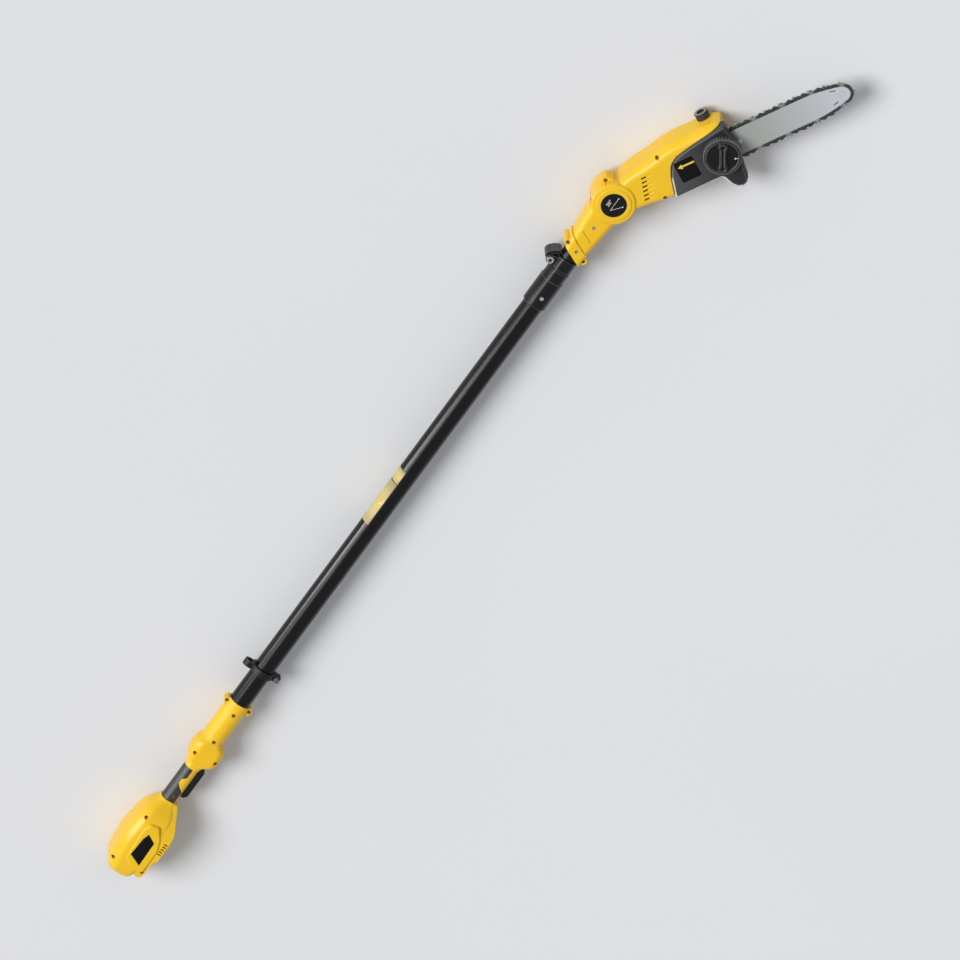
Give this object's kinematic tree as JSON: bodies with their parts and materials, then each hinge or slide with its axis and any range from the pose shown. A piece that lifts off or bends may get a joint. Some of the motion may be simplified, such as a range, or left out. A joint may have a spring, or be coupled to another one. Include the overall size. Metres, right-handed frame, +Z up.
{
  "type": "telescoping pole saw",
  "caption": "Cordless telescoping pole saw: battery handle, clamped sliding pole, tilting motor head, guide bar with saw chain.",
  "frame": {"origin": "middle of the bounding box, on the surface that the tool lies on", "axes": "+X along the pole from the handle to the saw head, +Y to the tool's top, +Z up, to the side that carries the guide bar"},
  "size_m": [1.804, 0.2598, 0.087],
  "materials": {
    "yellow_shell": "glossy",
    "black_plastic": "satin",
    "gloss_black_plastic": "glossy",
    "soft_grip": "matte",
    "black_tube": "gloss black anodised",
    "plain_tube": "black anodised",
    "zinc_steel": "zinc plated",
    "dark_steel": "blackened",
    "bright_steel": "bright",
    "spring_steel": "drawn wire",
    "bar_steel": "ground",
    "cover_grey": "fine texture",
    "natural_plastic": "translucent",
    "circuit": "lacquered",
    "contact_brass": "bright",
    "motor_steel": "zinc plated",
    "rubber_seal": "matte",
    "lead_rubber": "matte"
  },
  "bodies": {
    "handle": {"handle_shell_right": "yellow_shell", "handle_shell_left": "yellow_shell", "grip_overmould": "soft_grip", "handle_screws": "dark_steel", "trigger_pin": "zinc_steel", "trigger_spring": "spring_steel", "trigger_switch": "black_plastic", "lock_off_spring": "spring_steel", "control_board": "circuit", "terminal_block": "black_plastic", "terminal_blades": "contact_brass", "outer_tube": "black_tube", "strap_ring": "black_plastic", "strap_ring_bolt": "zinc_steel", "clamp_collar": "gloss_black_plastic", "collar_screw": "dark_steel", "lever_pin": "bright_steel"},
    "inner_pole": {"inner_tube": "plain_tube", "tube_bush": "black_plastic", "coiled_lead": "lead_rubber", "neck_shell_right": "yellow_shell", "neck_shell_left": "yellow_shell", "neck_screws": "dark_steel", "detent_ring": "zinc_steel"},
    "head": {"pivot_axle": "zinc_steel", "pivot_disc": "gloss_black_plastic", "tilt_button_spring": "spring_steel", "head_shell_right": "yellow_shell", "head_shell_left": "yellow_shell", "head_screws": "dark_steel", "motor_can": "motor_steel", "shaft_bearings": "bright_steel", "oil_tank": "natural_plastic", "oil_pump": "black_plastic", "sprocket_cover": "cover_grey", "bar_stud": "zinc_steel"},
    "clamp_lever": {"clamp_lever": "gloss_black_plastic"},
    "clamp_shoe": {"clamp_shoe": "black_plastic"},
    "trigger": {"trigger": "black_plastic"},
    "lock_off_button": {"lock_off_button": "black_plastic"},
    "tilt_button": {"tilt_button": "black_plastic"},
    "oil_cap": {"oil_cap": "black_plastic", "oil_cap_seal": "rubber_seal"},
    "lock_knob": {"lock_knob": "gloss_black_plastic"},
    "tension_ring": {"tension_ring": "black_plastic"},
    "bar": {"guide_bar": "bar_steel", "nose_rivets": "bright_steel", "chain_drive_links": "dark_steel", "chain_tie_straps": "dark_steel", "chain_cutters": "bright_steel", "chain_rivets": "bright_steel"},
    "drive": {"sprocket_shaft": "bright_steel", "crown_gear": "dark_steel", "drive_sprocket": "dark_steel"},
    "rotor": {"motor_rotor": "motor_steel", "pinion": "dark_steel"},
    "nose_sprocket": {"nose_sprocket": "dark_steel"}
  },
  "joints": [
    {"name": "pole_slide", "type": "slide", "parent": "handle", "child": "inner_pole", "axis": [1, 0, 0], "range_m": [0, 0.6], "deforming": ["coiled_lead"]},
    {"name": "head_tilt", "type": "hinge", "parent": "inner_pole", "child": "head", "pos_m": [0.53124, 0.09309, 0.04], "axis": [0, 0, 1], "range_deg": [0, 30]},
    {"name": "lever_swing", "type": "hinge", "parent": "handle", "child": "clamp_lever", "pos_m": [0.38824, 0.11859, 0.04], "axis": [0, 0, 1], "range_deg": [0, 120]},
    {"name": "shoe_lift", "type": "slide", "parent": "handle", "child": "clamp_shoe", "axis": [0, 1, 0], "range_m": [0, 0.0008]},
    {"name": "trigger_pull", "type": "hinge", "parent": "handle", "child": "trigger", "pos_m": [-0.67176, 0.08009, 0.04], "axis": [0, 0, -1], "range_deg": [0, 5], "stiffness_Nm_per_rad": 1.2, "springref_deg": -2.86, "deforming": ["trigger_spring"]},
    {"name": "lock_off_press", "type": "slide", "parent": "handle", "child": "lock_off_button", "axis": [0, 0, 1], "range_m": [0, 0.003], "stiffness_N_per_m": 600, "springref_m": -0.002, "deforming": ["lock_off_spring"]},
    {"name": "tilt_press", "type": "slide", "parent": "head", "child": "tilt_button", "axis": [0, 0, 1], "range_m": [0, 0.0042], "stiffness_N_per_m": 900, "springref_m": -0.003, "deforming": ["tilt_button_spring"]},
    {"name": "cap_turn", "type": "hinge", "parent": "head", "child": "oil_cap", "pos_m": [0.71959, 0.04532, 0.0215], "axis": [0.5, 0.866, 0], "range_deg": [0, 360]},
    {"name": "knob_turn", "type": "hinge", "parent": "head", "child": "lock_knob", "pos_m": [0.69838, -0.00341, 0.0714], "axis": [0, 0, 1], "range_deg": [0, 360]},
    {"name": "ring_turn", "type": "hinge", "parent": "head", "child": "tension_ring", "pos_m": [0.69838, -0.00341, 0.068], "axis": [0, 0, 1], "range_deg": [-120, 120]},
    {"name": "bar_slide", "type": "slide", "parent": "head", "child": "bar", "axis": [0.866, -0.5, 0], "range_m": [-0.004, 0.004], "deforming": ["chain_drive_links", "chain_tie_straps", "chain_cutters", "chain_rivets"]},
    {"name": "drive_spin", "type": "hinge", "parent": "head", "child": "drive", "pos_m": [0.64299, 0.02858, 0.051], "axis": [0, 0, 1], "continuous": true, "deforming": ["chain_drive_links", "chain_tie_straps", "chain_cutters", "chain_rivets"]},
    {"name": "rotor_spin", "type": "hinge", "parent": "head", "child": "rotor", "pos_m": [0.60918, 0.04809, 0.028], "axis": [0.866, -0.5, 0], "continuous": true},
    {"name": "nose_spin", "type": "hinge", "parent": "bar", "child": "nose_sprocket", "pos_m": [0.88328, -0.11016, 0.051], "axis": [0, 0, 1], "continuous": true}
  ],
  "couplings": [
    {"joint": "shoe_lift", "follows": "lever_swing", "m_per_rad": 0.00038197},
    {"joint": "ring_turn", "follows": "bar_slide", "rad_per_m": 523.6},
    {"joint": "rotor_spin", "follows": "drive_spin", "ratio": -3},
    {"joint": "nose_spin", "follows": "drive_spin", "ratio": 1}
  ]
}
